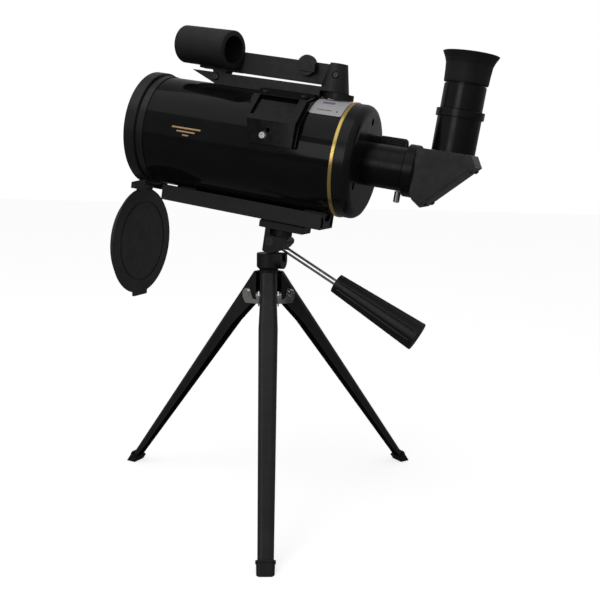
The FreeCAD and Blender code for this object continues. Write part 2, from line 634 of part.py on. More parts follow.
def sight_rod(radius, start, end):
    """A round piece on the sight tube's axis; lengths run forward from the rear face."""
    return rod(radius, tuple(sight_point(start)), tuple(sight_point(end)))


def build_finder_beam():
    """Upper arm with the sight tube at its near side, battery room, dimmer pin and the lug to the pivot."""
    near, far = num("beam_near"), num("beam_far")
    length, outer, bore = num("sight_length"), num("finder_radius"), num("finder_bore")
    pivot_x, pivot_z = num("sight_pivot_x"), num("sight_pivot_z")
    dimmer_x, dimmer_z = num("dimmer_x"), num("dimmer_z")
    tube = sight_rod(outer, 0.8, length - 0.6)
    tube = tube.fuse(cone(outer, outer - 0.6, tuple(sight_point(length - 0.6)), tuple(sight_point(length))))
    tube = tube.fuse(cone(outer - 0.8, outer, tuple(sight_point(0.0)), tuple(sight_point(0.8))))
    keel = Part.makeBox(38, 12, 12.0, V(-76, -6, 60.6))
    beam = prism([(-46.0, 61.0), (41.6, 60.2), (46.2, 77.4), (-46.0, 78.6)], near, far)
    lug = prism([(-63, 61.6), (-48, 61.6), (-52.0, 50.6), (-59.6, 50.6)], -6.0, 6.0)
    shape = tube.fuse([keel, beam, lug])
    shape = shape.cut(sight_rod(bore, -5.0, length + 5.0))
    for i in range(5):
        start = 4.6 + 2.4 * i
        shape = shape.cut(sight_rod(bore + 0.5, start, start + 1.0))
    shape = shape.cut(rod(2.56, (pivot_x, -20, pivot_z), (pivot_x, 20, pivot_z)))
    shape = shape.cut(rod(7.0, (2.0, far - 8.0, 69.6), (2.0, far + 1, 69.6)))
    shape = shape.cut(rod(1.65, (-72.0, 1.0, 72.0), (-58.0, 1.0, 72.0)))
    pin = rod(2.0, (dimmer_x, near - 6.5, dimmer_z), (dimmer_x, near + 1.0, dimmer_z))
    cover = prism([(20.8, 68.6), (35.8, 68.6), (35.4, 75.8), (20.8, 75.8)], near - 7.4, near - 5.8)
    solid_node("finder_beam", shape.fuse([pin, cover]).removeSplitter(), TUBE)
    solid_node("finder_window", sight_rod(bore - 0.05, length - 10.0, length - 8.2), TUBE)
    solid_node("finder_lamp", rod(1.6, (-65.5, 1.0, 72.0), (-58.1, 1.0, 72.0)), TUBE)
    solid_node("finder_battery", rod(6.6, (2.0, far - 7.8, 69.6), (2.0, far - 2.6, 69.6)), TUBE)
    lid = rod(6.9, (2.0, far - 2.3, 69.6), (2.0, far + 0.9, 69.6))
    lid = lid.cut(Part.makeBox(10, 1.2, 1.4, V(-3.0, far + 0.1, 68.9)))
    solid_node("battery_cap", lid, TUBE)
    wheel = toothed_wheel(8.7, 8.3, 32, 0.0, 4.6).cut(rod(2.06, (-1, 0, 0), (6, 0, 0)))
    wheel = turn_about(wheel, (0, 0, 0), (0, 0, 1), 90)
    wheel.translate(V(dimmer_x, near - 5.4, dimmer_z))
    solid_node("brightness_wheel", wheel, TUBE)


# ---------------------------------------------------------------- rail and head

RAIL_SCREWS = (-70.0, 54.0)


def build_rail():
    """Extruded rail with a V groove on top, two hollow chambers and two tapped holes."""
    half, top, bottom = size("rail_half"), size("rail_top"), size("rail_bottom")
    front, rear = size("rail_front"), size("rail_rear")
    body = new_body("mounting_rail", TUBE)
    sketch = new_sketch(body, "YZ_Plane")
    polygon(sketch, [
        (-half, bottom + 0.6), (-half + 0.6, bottom), (half - 0.6, bottom), (half, bottom + 0.6), (half, top),
        (half - 3.6, top), (3.6, top - 7.2), (-3.6, top - 7.2), (-half + 3.6, top), (-half, top)])
    pad = body.newObject("PartDesign::Pad", "rail_pad")
    pad.Profile = sketch
    pad.SideType = "Two sides"
    pad.Length = rear.number
    pad.Length2 = -front.number
    pad.setExpression("Length", rear.formula)
    pad.setExpression("Length2", (-front).formula)
    doc.recompute()
    for side in (-1, 1):
        cut_through(body, "YZ_Plane", lambda sketch: polygon(sketch, [
            (side * 9.4, bottom + 1.8), (side * 15.4, bottom + 1.8), (side * 15.4, top - 2.2),
            (side * 13.4, top - 2.4), (side * 9.4, top - 5.4)]))
    cut_through(body, "XY_Plane", lambda sketch: circle(sketch, size("bolt_x"), 0, 3.2))
    cut_through(body, "XY_Plane", lambda sketch: circle(sketch, size("spare_x"), 0, 3.2))
    for x in RAIL_SCREWS:
        cut_through(body, "XY_Plane", lambda sketch: circle(sketch, x, 0, 2.1))
    shoes = []
    for x in RAIL_SCREWS:
        shoe = prism([(-3.4, -55.45), (3.4, -55.45), (10.4, -50.1), (10.4, -44.0), (-10.4, -44.0), (-10.4, -50.1)],
                     x - 8, x + 8, "YZ")
        shoes.append(shoe.cut(tube_cut(num("tube_radius") + 0.02)).cut(rod(1.9, (x, 0, -60), (x, 0, -40))))
    solid_node("rail_shoes", Part.makeCompound(shoes), TUBE)
    screws = []
    for x in RAIL_SCREWS:
        screws.append(pan_head_screw(3.4, 1.6, 1.85, 11.5, (x, 0, -62.25), (0, 0, -1)))
    solid_node("rail_screws", Part.makeCompound(screws), TUBE)


def build_platform():
    """Camera platform with its pad and the captive camera bolt."""
    x, bottom = num("bolt_x"), num("rail_bottom")
    body = plate("camera_platform", TUBE, [
        (5.4, bottom - 7.8), (46.8, bottom - 7.8), (47.4, bottom - 7.2), (47.4, bottom - 1.7), (4.8, bottom - 1.7),
        (4.8, bottom - 7.2)], 20.0)
    doc.recompute()
    cut_through(body, "XY_Plane", lambda sketch: circle(sketch, size("bolt_x"), 0, 3.5))
    pad = Part.makeBox(40.8, 18.6, 1.6, V(5.7, -9.3, bottom - 1.65)).cut(rod(3.6, (x, 0, -80), (x, 0, -50)))
    solid_node("platform_pad", pad, TUBE)
    wheel = toothed_wheel(8.5, 8.0, 26, 0, 4.8)
    wheel = turn_about(wheel, (0, 0, 0), (0, 1, 0), -90)
    wheel.translate(V(x, 0, bottom - 13.2))
    wheel = wheel.fuse(rod(3.1, (x, 0, bottom - 9), (x, 0, bottom + 5.8)))
    solid_node("camera_bolt", wheel, TUBE)


def build_tilt_block():
    """Tilting casting: front web under the platform, cheeks around the pan tongue, boss for the handle."""
    x, z = num("tilt_x"), num("tilt_z")
    left, right = 10.8, 33.6
    top = num("rail_bottom") - 7.85
    foot = 10.5
    profile = [(left, top), (left + 5.0, top), (left + 5.0, -76.4), (right - 2.0, -76.4), (right, -78.4),
               (right, -81.0), (right - 2.8, -85.2), (x + 4.0, z - foot - 1), (left, z - foot - 1)]
    shape = prism(profile, -9.0, 9.0)
    upper = prism([(left - 1, -60), (right + 1, -60), (right + 1, z - 4.5), (x + 7.5, z - 7.0), (x, z - 6.0),
                   (left - 1, z)], -10, 10)
    shape = shape.common(rod(foot, (x, -10, z), (x, 10, z)).fuse(upper))
    half = num("tongue_half") + 0.5
    room = rod(half, (x, -4.3, z), (x, 4.3, z))
    for step in range(9):
        wedge = Part.makeBox(2 * half, 8.6, 16, V(x - half, -4.3, z - 16))
        room = room.fuse(turn_about(wedge, (x, 0, z), (0, 1, 0), -32 + 8.0 * step))
    shape = shape.cut(room)
    shape = shape.cut(rod(2.55, (x, -12, z), (x, 12, z)))
    for side in (-1, 1):
        shape = shape.cut(rod(4.0, (x, side * 8.0, z), (x, side * 12.0, z)))
    bore = rod(num("rod_radius") + 0.06, (7.0, 0, 0), (40, 0, 0))
    bore = turn_about(bore, (0, 0, 0), (0, 1, 0), num("handle_angle") - num("aim_angle"))
    bore.translate(V(x, 0, z))
    shape = shape.cut(bore)
    solid_node("tilt_block", shape.removeSplitter(), TUBE)
    bolt = rod(2.5, (x, -8.0, z), (x, 8.0, z))
    for side in (-1, 1):
        bolt = bolt.fuse(rod(3.9, (x, side * 8.05, z), (x, side * 8.9, z)))
    bolt = bolt.fuse(rod(2.5, (x, -8.4, z), (x, 8.4, z)))
    solid_node("tilt_bolt", bolt.cut(cross_slot(2.0, 0.5, 0.8, (x, -8.9, z), (0, -1, 0))), TUBE)


def build_pan_base():
    """Turning barrel on the hub with a rear lug and the upright tongue for the tilt bolt."""
    pivot = tilt_pivot_world() - BASE
    x, z = pivot.x, pivot.z
    radius, low, high = num("pan_radius"), num("hub_top") + 0.3, 227.3
    barrel = rod(radius, (0, 0, low + 2.2), (0, 0, high - 0.5))
    barrel = barrel.fuse(cone(radius - 2.0, radius, (0, 0, low), (0, 0, low + 2.2)))
    barrel = barrel.fuse(cone(radius, radius - 0.5, (0, 0, high - 0.5), (0, 0, high)))
    lug = rod(8.5, (0, 0, low + 8.9), (14.8, 0, low + 8.9)).fuse(
        Part.makeBox(14.8, 17, high - low - 8.9, V(0, -8.5, low + 8.9)))
    lug = lug.common(Part.makeBox(40, 40, high - low, V(-20, -20, low)))
    half = num("tongue_half")
    tongue = Part.makeBox(2 * half, 8.0, z - low - 8, V(x - half, -4.0, low + 8))
    tongue = tongue.fuse(rod(half, (x, -4, z), (x, 4, z)))
    shape = barrel.fuse([lug, tongue]).cut(rod(2.56, (x, -6, z), (x, 6, z)))
    slot = prism([(x + 5.2, high + 3), (x + 5.2, high - 3.5), (x + 16, high - 12.5), (x + 16, high + 3)], -4.2, 4.2)
    shape = shape.cut(slot).cut(rod(4.06, (0, 0, low - 2), (0, 0, low + 11.4)))
    solid_node("pan_base", shape.removeSplitter(), STAND)
    low = size("hub_bottom") - 1.65
    turned("pan_spindle", STAND, [
        (0, low - 2.0), (3.2, low - 2.0), (4.2, low - 1.2), (4.2, low), (2.1, low), (2.1, 196.0), (4.0, 196.0),
        (4.0, size("hub_top") + 11.0), (0, size("hub_top") + 11.0)], "V_Axis")


def build_handle():
    """Chrome rod screwed into the tilt block and a tapered ribbed grip."""
    start, end = size("grip_start"), size("grip_end")
    radius = size("rod_radius")
    turned("handle_rod", HANDLE, [
        (9.2, 0), (9.2, radius - 0.6), (9.8, radius), (start + 40.0, radius), (start + 40.0, 0)])
    a, b = start.number, end.number
    grip = cone(8.8, 13.1, (a, 0, 0), (b - 0.7, 0, 0)).fuse(cone(13.1, 12.4, (b - 0.7, 0, 0), (b, 0, 0)))
    count = 8
    for i in range(count):
        groove = cone(1.5, 2.3, (a + 4.0, 0, 9.6), (b - 5.0, 0, 14.1))
        grip = grip.cut(turn_about(groove, (0, 0, 0), (1, 0, 0), 360.0 * i / count + 11.0))
    grip = grip.cut(rod(radius.number + 0.02, (a - 1, 0, 0), (a + 40.05, 0, 0)))
    grip = grip.cut(rod(6.5, (b - 1.0, 0, 0), (b + 1, 0, 0)))
    solid_node("handle_grip", grip.removeSplitter(), HANDLE)


# ---------------------------------------------------------------- tripod

def leg_angle(index):
    return num("first_leg") + 120.0 * index


def leg_place(index):
    """Frame at a leg pivot: X runs down the leg, Z faces outward, Y is the pivot axis."""
    turn = FreeCAD.Rotation(V(0, 0, 1), leg_angle(index))
    lean = FreeCAD.Rotation(V(0, 1, 0), 90.0 - num("leg_spread"))
    spot = turn.multVec(V(num("pivot_radius"), 0, num("pivot_height")))
    return FreeCAD.Placement(BASE + spot, turn.multiply(lean))


def build_hub():
    body = turned("tripod_hub", STAND, [
        (4.02, size("hub_top")), (size("hub_radius") - 0.5, size("hub_top")),
        (size("hub_radius"), size("hub_top") - 0.5), (size("hub_radius"), 206.0),
        (size("hub_radius") - 0.6, 205.2), (size("hub_radius") - 0.6, 203.6), (size("hub_radius"), 202.8),
        (size("hub_radius"), size("hub_bottom")), (2.6, size("hub_bottom")), (2.6, 195.9), (4.02, 195.9)],
        "V_Axis")
    doc.recompute()
    return body


def build_bracket():
    """Chromed star bracket under the hub: a plate and six upright ears, one pair beside each leg."""
    low = num("hub_bottom") - 1.6
    pivot, height = num("pivot_radius"), num("pivot_height")
    shape = rod(9.6, (0, 0, low), (0, 0, low + 1.55))
    for i in range(3):
        for side in (-1, 1):
            offset = side * 8.75
            ear = prism([(3.0, low), (pivot + 1.5, low), (pivot + 4.6, height - 4.0), (pivot + 4.6, height + 1.0),
                         (pivot + 2.0, height + 4.4), (pivot - 3.0, height + 4.4), (pivot - 6.0, low + 4.5),
                         (3.0, low + 3.0)], offset - 0.6, offset + 0.6)
            ear = ear.cut(rod(2.03, (pivot, -20, height), (pivot, 20, height)))
            ear = ear.cut(rod(num("hub_radius") + 0.35, (0, 0, low + 1.5), (0, 0, 220)))
            shape = shape.fuse(turn_about(ear, (0, 0, 0), (0, 0, 1), leg_angle(i)))
    shape = shape.cut(rod(2.2, (0, 0, low - 1), (0, 0, low + 3)))
    solid_node("leg_bracket", shape.removeSplitter(), STAND)
    screws = []
    for i in range(3):
        screw = pan_head_screw(3.7, 1.9, 1.95, 21.0, (pivot, -9.4, height), (0, -1, 0))
        nut = Part.makeCylinder(3.4, 2.2, V(pivot, 9.4, height), V(0, 1, 0))
        nut = nut.common(Part.makeBox(5.9, 10, 12, V(pivot - 2.95, 5, height - 6)))
        nut = nut.cut(rod(1.96, (pivot, 5, height), (pivot, 20, height)))
        for piece in (screw, nut):
            screws.append(turn_about(piece, (0, 0, 0), (0, 0, 1), leg_angle(i)))
    solid_node("leg_screws", Part.makeCompound(screws), STAND)


def leg_section(x, half, top, bottom, radius):
    """One cross section of a leg: a rectangle with its two outward corners rounded."""
    turn = radius * (1 - math.sqrt(0.5))
    points = [V(x, -half, bottom), V(x, -half, top - radius), V(x, -half + radius, top),
              V(x, half - radius, top), V(x, half, top - radius), V(x, half, bottom)]
    middles = [V(x, -half + turn, top - turn), V(x, half - turn, top - turn)]
    edges = [Part.LineSegment(points[0], points[1]).toShape(),
             Part.Arc(points[1], middles[0], points[2]).toShape(),
             Part.LineSegment(points[2], points[3]).toShape(),
             Part.Arc(points[3], middles[1], points[4]).toShape(),
             Part.LineSegment(points[4], points[5]).toShape(),
             Part.LineSegment(points[5], points[0]).toShape()]
    return Part.Wire(edges)


def leg_loft(sections):
    """Solid with straight flanks through a row of leg sections."""
    return Part.makeLoft([leg_section(*values) for values in sections], True, True)


def leg_shape():
    """Folded sheet channel, open toward the middle of the tripod, cut off upright against the hub."""
    end = num("leg_length")
    sheet = 1.2
    sections = [(-19.0, 7.5, 8.4, -8.4), (8.0, 7.6, 7.6, -7.9), (34.0, 8.5, 6.8, -4.8), (end, 6.3, 3.1, -2.4)]
    outer = leg_loft([(x, half, top, bottom, 4.0) for x, half, top, bottom in sections])
    inner = leg_loft([(x, half - sheet, top - sheet, -12.0, 4.0 - sheet) for x, half, top, bottom in sections])
    shape = outer.cut(inner)
    spread = math.radians(num("leg_spread"))
    radial = V(math.sin(spread), 0, math.cos(spread))
    middle = radial * (9.25 - num("pivot_radius"))
    block = Part.makeBox(60, 60, 60, V(-60, -30, -30))
    block.Placement = FreeCAD.Placement(middle, FreeCAD.Rotation(V(1, 0, 0), radial))
    shape = shape.cut(block)
    return shape.cut(rod(2.03, (0, -20, 0), (0, 20, 0)))


def foot_shape():
    """Rubber boot over the end of a leg: a lip above, tapering below, flat where it stands."""
    length = num("leg_length")
    start = length - 5.0
    lip = leg_loft([(start, 7.9, 5.1, -4.6, 3.4), (start + 1.8, 7.9, 5.1, -4.6, 3.4)])
    boot = leg_loft([(start + 1.0, 7.3, 4.6, -4.6, 3.0), (length + 11.0, 6.9, 4.3, -6.0, 3.0)])
    socket = prism([(start - 1, 3.35), (length + 0.1, 3.2), (length + 0.1, -2.5), (start - 1, -2.7)], -6.5, 6.5)
    boot = boot.fuse(lip).removeSplitter().cut(socket)
    spread = math.radians(num("leg_spread"))
    down = V(math.cos(spread), 0, -math.sin(spread))
    ground = Part.makeBox(60, 60, 600, V(0, -30, -300))
    ground.Placement = FreeCAD.Placement(down * num("pivot_height"), FreeCAD.Rotation(V(1, 0, 0), down))
    return boot.cut(ground)


def build_legs():
    for i in range(3):
        solid_node("leg_%d" % (i + 1), leg_shape(), leg_place(i))
        solid_node("foot_%d" % (i + 1), foot_shape(), leg_place(i))


# ---------------------------------------------------------------- build, check, write

def check_document():
    for item in doc.Objects:
        state = [word for word in item.State if word in ("Invalid", "Error")]
        if state:
            raise RuntimeError("%s is %s" % (item.Label, state))
    for node in NODES:
        if node.Shape.isNull() or not node.Shape.isValid():
            raise RuntimeError("%s has no valid shape" % node.Label)
        if not node.Shape.Solids:
            raise RuntimeError("%s has no solid" % node.Label)


def write_parts():
    os.makedirs("parts", exist_ok=True)
    for node in NODES:
        node.Shape.exportStep("parts/" + node.Label + ".step")


BUILDERS = [
    build_main_tube, build_front_ring, build_corrector, build_rear_cell, build_trim_ring,
    build_collimation_screws, build_primary, build_focuser, build_visual_back, build_thumbscrews,
    build_lens_cap, build_diagonal, build_eyepiece, build_finder_saddle, build_finder_arm,
    build_finder_beam, build_rail, build_platform, build_tilt_block, build_pan_base,
    build_handle, build_hub, build_bracket, build_legs,
]
for builder in BUILDERS:
    builder()
doc.recompute()
check_document()
write_parts()
total = Part.makeCompound([node.Shape for node in NODES])
bounds = total.BoundBox
print("nodes", len(NODES), "x", round(bounds.XMin, 2), round(bounds.XMax, 2), "y", round(bounds.YMin, 2),
      round(bounds.YMax, 2), "z", round(bounds.ZMin, 3), round(bounds.ZMax, 2))
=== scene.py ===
import json
import math

import bmesh
import bpy
from mathutils import Matrix, Vector


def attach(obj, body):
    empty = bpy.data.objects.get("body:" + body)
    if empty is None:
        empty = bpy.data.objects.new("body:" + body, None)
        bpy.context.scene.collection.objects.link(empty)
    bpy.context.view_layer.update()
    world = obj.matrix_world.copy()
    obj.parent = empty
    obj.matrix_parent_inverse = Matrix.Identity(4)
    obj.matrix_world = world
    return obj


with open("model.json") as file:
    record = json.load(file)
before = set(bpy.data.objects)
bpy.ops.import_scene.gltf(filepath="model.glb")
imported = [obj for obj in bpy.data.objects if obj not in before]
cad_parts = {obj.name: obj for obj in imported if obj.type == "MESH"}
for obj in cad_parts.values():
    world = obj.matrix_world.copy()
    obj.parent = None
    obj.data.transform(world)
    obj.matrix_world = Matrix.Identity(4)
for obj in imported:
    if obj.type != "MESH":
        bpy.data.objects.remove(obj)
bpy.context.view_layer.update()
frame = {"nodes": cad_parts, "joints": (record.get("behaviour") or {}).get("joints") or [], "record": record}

# Looks for the telescope on its table tripod. Metres, the same frame as the CAD model.

NODES = frame["nodes"]
JOINTS = {joint["name"]: joint for joint in frame["joints"]}

# The saddle's lowest screw is below this height, its two upper screws above it.
SCREW_SPLIT_HEIGHT = 0.344

# The tube frame: U runs back along the optical axis, N is the tube's own "up".
U = Vector(JOINTS["diagonal_turn"]["axis"]).normalized()
Y = Vector((0, 1, 0))
N = U.cross(Y).normalized()
CENTRE = Vector(JOINTS["diagonal_turn"]["pos_m"]) - U * 0.120


def tube_point(u, y, n):
    """A point given in the tube frame, in millimetres, as a point of the row frame in metres."""
    return CENTRE + (U * u + Y * y + N * n) * 0.001


# ---------------------------------------------------------------- materials

class Tree:
    """Short names for building a node tree."""

    def __init__(self, name):
        self.material = bpy.data.materials.new(name)
        self.material.use_nodes = True
        self.nodes = self.material.node_tree.nodes
        self.links = self.material.node_tree.links
        self.shader = self.nodes["Principled BSDF"]
        self.place = self.new("ShaderNodeTexCoord").outputs["Object"]

    def new(self, kind, **settings):
        node = self.nodes.new(kind)
        for key, value in settings.items():
            setattr(node, key, value)
        return node

    def feed(self, socket, value):
        if isinstance(value, bpy.types.NodeSocket):
            self.links.new(value, socket)
        else:
            socket.default_value = value

    def scaled(self, stretch):
        mapping = self.new("ShaderNodeMapping")
        self.links.new(self.place, mapping.inputs["Vector"])
        mapping.inputs["Scale"].default_value = stretch
        return mapping.outputs["Vector"]

    def noise(self, scale, detail=2.0, where=None, rough=0.5):
        node = self.new("ShaderNodeTexNoise")
        self.links.new(where or self.place, node.inputs["Vector"])
        node.inputs["Scale"].default_value = scale
        node.inputs["Detail"].default_value = detail
        node.inputs["Roughness"].default_value = rough
        return node.outputs["Fac"]

    def span(self, value, low, high, out_low, out_high):
        node = self.new("ShaderNodeMapRange")
        node.clamp = True
        self.feed(node.inputs["Value"], value)
        for key, number in (("From Min", low), ("From Max", high), ("To Min", out_low), ("To Max", out_high)):
            node.inputs[key].default_value = number
        return node.outputs["Result"]

    def math(self, operation, a, b=0.0):
        node = self.new("ShaderNodeMath", operation=operation)
        self.feed(node.inputs[0], a)
        self.feed(node.inputs[1], b)
        return node.outputs[0]

    def mix(self, factor, a, b):
        node = self.new("ShaderNodeMix", data_type="RGBA")
        self.feed(node.inputs[0], factor)
        self.feed(node.inputs[6], a)
        self.feed(node.inputs[7], b)
        return node.outputs[2]

    def edge_wear(self, radius, amount):
        """High where the surface turns a corner, broken up so that it looks rubbed."""
        bevel = self.new("ShaderNodeBevel", samples=4)
        bevel.inputs["Radius"].default_value = radius
        flat = self.new("ShaderNodeNewGeometry").outputs["Normal"]
        dot = self.new("ShaderNodeVectorMath", operation="DOT_PRODUCT")
        self.links.new(bevel.outputs["Normal"], dot.inputs[0])
        self.links.new(flat, dot.inputs[1])
        corner = self.span(dot.outputs["Value"], 0.80, 0.99, 1.0, 0.0)
        broken = self.span(self.noise(260.0, 4.0), 0.42, 0.62, 0.0, amount)
        return self.math("MULTIPLY", corner, broken)

    def bump(self, height, strength, distance, rounding=0.00025):
        """Surface grain on top of slightly rounded edges."""
        bevel = self.new("ShaderNodeBevel", samples=4)
        bevel.inputs["Radius"].default_value = rounding
        node = self.new("ShaderNodeBump")
        node.inputs["Strength"].default_value = strength
        node.inputs["Distance"].default_value = distance
        self.feed(node.inputs["Height"], height)
        self.links.new(bevel.outputs["Normal"], node.inputs["Normal"])
        self.links.new(node.outputs["Normal"], self.shader.inputs["Normal"])

    def colour(self, value):
        self.feed(self.shader.inputs["Base Color"], value)

    def rough(self, value):
        self.feed(self.shader.inputs["Roughness"], value)

    def set(self, **sockets):
        for key, value in sockets.items():
            self.shader.inputs[key.replace("_", " ")].default_value = value


def grey(level, warm=0.0):
    return (level * (1 + warm), level, level * (1 - warm), 1.0)


def plastic(name, level, rough, grain=2600.0, depth=0.00004, blotch=0.25, wear=0.35, warm=0.0, specular=0.5):
    """Moulded black plastic or powder coat: fine grain, faint cloudiness, edges rubbed a little lighter."""
    t = Tree(name)
    cloud = t.noise(55.0, 3.0)
    dark, light = grey(level * (1 - blotch), warm), grey(level * (1 + blotch), warm)
    base = t.mix(t.span(cloud, 0.3, 0.7, 0.0, 1.0), dark, light)
    t.colour(t.mix(t.edge_wear(0.0006, wear), base, grey(level * 2.4 + 0.03, warm)))
    t.rough(t.math("ADD", t.span(t.noise(180.0, 3.0), 0.3, 0.7, rough - 0.06, rough + 0.06),
                   t.span(t.noise(30.0, 4.0), 0.55, 0.75, 0.0, 0.07)))
    t.set(Specular_IOR_Level=specular)
    t.bump(t.noise(grain, 2.0), 0.5, depth)
    return t.material


def lacquer(name, level, rough, peel=0.00002, specular=0.3):
    """Deep gloss black paint with faint orange peel, fine dust and light smears."""
    t = Tree(name)
    smear = t.noise(42.0, 4.0, t.scaled((1.0, 3.0, 1.0)))
    dust = t.span(t.noise(1900.0, 1.0), 0.72, 0.80, 0.0, 0.5)
    base = t.mix(t.span(smear, 0.35, 0.7, 0.0, 1.0), grey(level * 0.85, -0.04), grey(level * 1.2, -0.05))
    t.colour(t.mix(dust, base, grey(level * 1.8 + 0.004)))
    t.rough(t.span(smear, 0.3, 0.75, rough, rough + 0.07))
    t.set(Specular_IOR_Level=specular)
    t.bump(t.noise(230.0, 2.0), 0.35, peel, 0.0003)
    return t.material


def metal(name, colour, rough, stretch=(1, 1, 1), scale=900.0, depth=0.000012, stain=0.25):
    """Plated or machined metal with fine lines and light tarnish."""
    t = Tree(name)
    lines = t.noise(scale, 2.0, t.scaled(stretch))
    tarnish = t.span(t.noise(120.0, 4.0), 0.5, 0.75, 0.0, stain)
    dull = tuple(c * 0.45 for c in colour[:3]) + (1.0,)
    t.colour(t.mix(tarnish, colour, dull))
    polish = t.span(lines, 0.3, 0.7, rough - 0.04, rough + 0.08)
    t.rough(t.math("ADD", polish, t.math("MULTIPLY", tarnish, 0.5)))
    t.set(Metallic=1.0)
    t.bump(lines, 0.5, depth, 0.0002)
    return t.material


def saddle_screw_metal(name):
    """The lowest screw of the saddle is bright, the two above it are blackened."""
    t = Tree(name)
    height = t.new("ShaderNodeSeparateXYZ")
    t.links.new(t.place, height.inputs[0])
    split = SCREW_SPLIT_HEIGHT
    upper = t.span(height.outputs["Z"], split - 0.001, split + 0.001, 0.0, 1.0)
    lines = t.noise(900.0, 2.0)
    tarnish = t.span(t.noise(120.0, 4.0), 0.5, 0.75, 0.0, 0.2)
    bright = t.mix(tarnish, grey(0.80), grey(0.40))
    dark = t.mix(tarnish, grey(0.022), grey(0.035))
    t.colour(t.mix(upper, bright, dark))
    t.rough(t.math("ADD", t.span(lines, 0.3, 0.7, 0.12, 0.24), t.math("MULTIPLY", upper, 0.2)))
    t.feed(t.shader.inputs["Metallic"], t.math("SUBTRACT", 1.0, upper))
    t.bump(lines, 0.5, 0.000012, 0.0002)
    return t.material


def rubber(name, level, rough, grain=1500.0):
    """Black rubber with pale handling marks and a fine grain."""
    t = Tree(name)
    cloud = t.noise(80.0, 4.0)
    pale = t.span(t.noise(38.0, 5.0, rough=0.65), 0.5, 0.8, 0.0, 0.35)
    base = t.mix(t.span(cloud, 0.3, 0.7, 0.0, 1.0), grey(level * 0.8), grey(level * 1.25))
    t.colour(t.mix(pale, base, grey(level * 1.9 + 0.006)))
    t.rough(t.span(cloud, 0.3, 0.7, rough - 0.05, rough + 0.08))
    t.set(Specular_IOR_Level=0.35)
    t.bump(t.noise(grain, 3.0), 0.6, 0.00006, 0.0004)
    return t.material


def glass(name, tint, rough=0.02):
    """Clear glass with a thin film of dust that dulls it in places."""
    t = Tree(name)
    film = t.noise(60.0, 4.0)
    t.colour(t.mix(t.span(film, 0.35, 0.7, 0.0, 1.0), tint, tuple(c * 0.9 for c in tint[:3]) + (1.0,)))
    t.rough(t.span(film, 0.4, 0.8, rough, rough + 0.05))
    t.set(Transmission_Weight=1.0, IOR=1.5)
    t.bump(t.noise(400.0, 2.0), 0.1, 0.000004, 0.0002)
    return t.material


def mirror_coat(name):
    """Bright metal coating with a light haze."""
    t = Tree(name)
    haze = t.noise(90.0, 4.0)
    t.colour(t.mix(t.span(haze, 0.5, 0.8, 0.0, 0.5), grey(0.92), grey(0.7)))
    t.rough(t.span(haze, 0.4, 0.8, 0.02, 0.12))
    t.set(Metallic=1.0)
    return t.material


MATERIALS = {
    "tube_gloss": lacquer("tube_gloss", 0.009, 0.06, specular=0.2),
    "cell_gloss": lacquer("cell_gloss", 0.011, 0.22),
    "ring_satin": plastic("ring_satin", 0.012, 0.33, grain=3000.0, depth=0.00001, wear=0.25),
    "gold_trim": metal("gold_trim", (0.86, 0.62, 0.20, 1.0), 0.24, stain=0.15),
    "optic_glass": glass("optic_glass", (0.93, 0.98, 0.96, 1.0)),
    "window_glass": glass("window_glass", (0.95, 0.72, 0.66, 1.0)),
    "mirror_coat": mirror_coat("mirror_coat"),
    "inner_black": plastic("inner_black", 0.012, 0.6, wear=0.1),
    "back_satin": plastic("back_satin", 0.005, 0.30, grain=3500.0, depth=0.00001, specular=0.25),
    "diagonal_plastic": plastic("diagonal_plastic", 0.010, 0.38, depth=0.00002),
    "eyepiece_gloss": plastic("eyepiece_gloss", 0.006, 0.24, grain=3500.0, depth=0.000008, wear=0.25,
                              specular=0.35),
    "barrel_chrome": metal("barrel_chrome", (0.82, 0.82, 0.83, 1.0), 0.14),
    "eyecup_rubber": rubber("eyecup_rubber", 0.016, 0.55),
    "knob_rubber": rubber("knob_rubber", 0.014, 0.5),
    "knob_plastic": plastic("knob_plastic", 0.012, 0.4),
    "finder_plastic": plastic("finder_plastic", 0.017, 0.46, grain=2200.0, depth=0.00005, warm=0.03),
    "saddle_plastic": plastic("saddle_plastic", 0.004, 0.13, grain=2200.0, depth=0.000003, specular=0.2),
    "cap_plastic": plastic("cap_plastic", 0.040, 0.5, grain=2400.0, depth=0.00006),
    "screw_black": metal("screw_black", (0.09, 0.09, 0.09, 1.0), 0.35),
    "screw_bright": metal("screw_bright", (0.85, 0.84, 0.82, 1.0), 0.15),
    "bolt_steel": metal("bolt_steel", (0.45, 0.45, 0.46, 1.0), 0.3),
    "rod_chrome": metal("rod_chrome", (0.88, 0.88, 0.89, 1.0), 0.08, stain=0.12),
    "bracket_chrome": metal("bracket_chrome", (0.85, 0.84, 0.82, 1.0), 0.15, stain=0.2),
    "lamp_red": plastic("lamp_red", 0.02, 0.2),
    "rail_black": plastic("rail_black", 0.019, 0.36, grain=3000.0, depth=0.00002),
    "head_black": plastic("head_black", 0.012, 0.38, grain=2400.0, depth=0.00003),
    "grip_plastic": plastic("grip_plastic", 0.006, 0.42, grain=2200.0, depth=0.00004),
    "pad_rubber": rubber("pad_rubber", 0.014, 0.7),
    "leg_paint": plastic("leg_paint", 0.017, 0.34, grain=1500.0, depth=0.00004),
    "foot_rubber": rubber("foot_rubber", 0.014, 0.5),
}

OWN_MATERIALS = {
    "saddle_screws": saddle_screw_metal("saddle_screw_metal"),
}

for part in frame["record"]["subparts"]:
    node = NODES[part["node"]]
    node.data.materials.clear()
    node.data.materials.append(OWN_MATERIALS.get(part["node"], MATERIALS[part["material_slot"]]))


# ---------------------------------------------------------------- added pieces

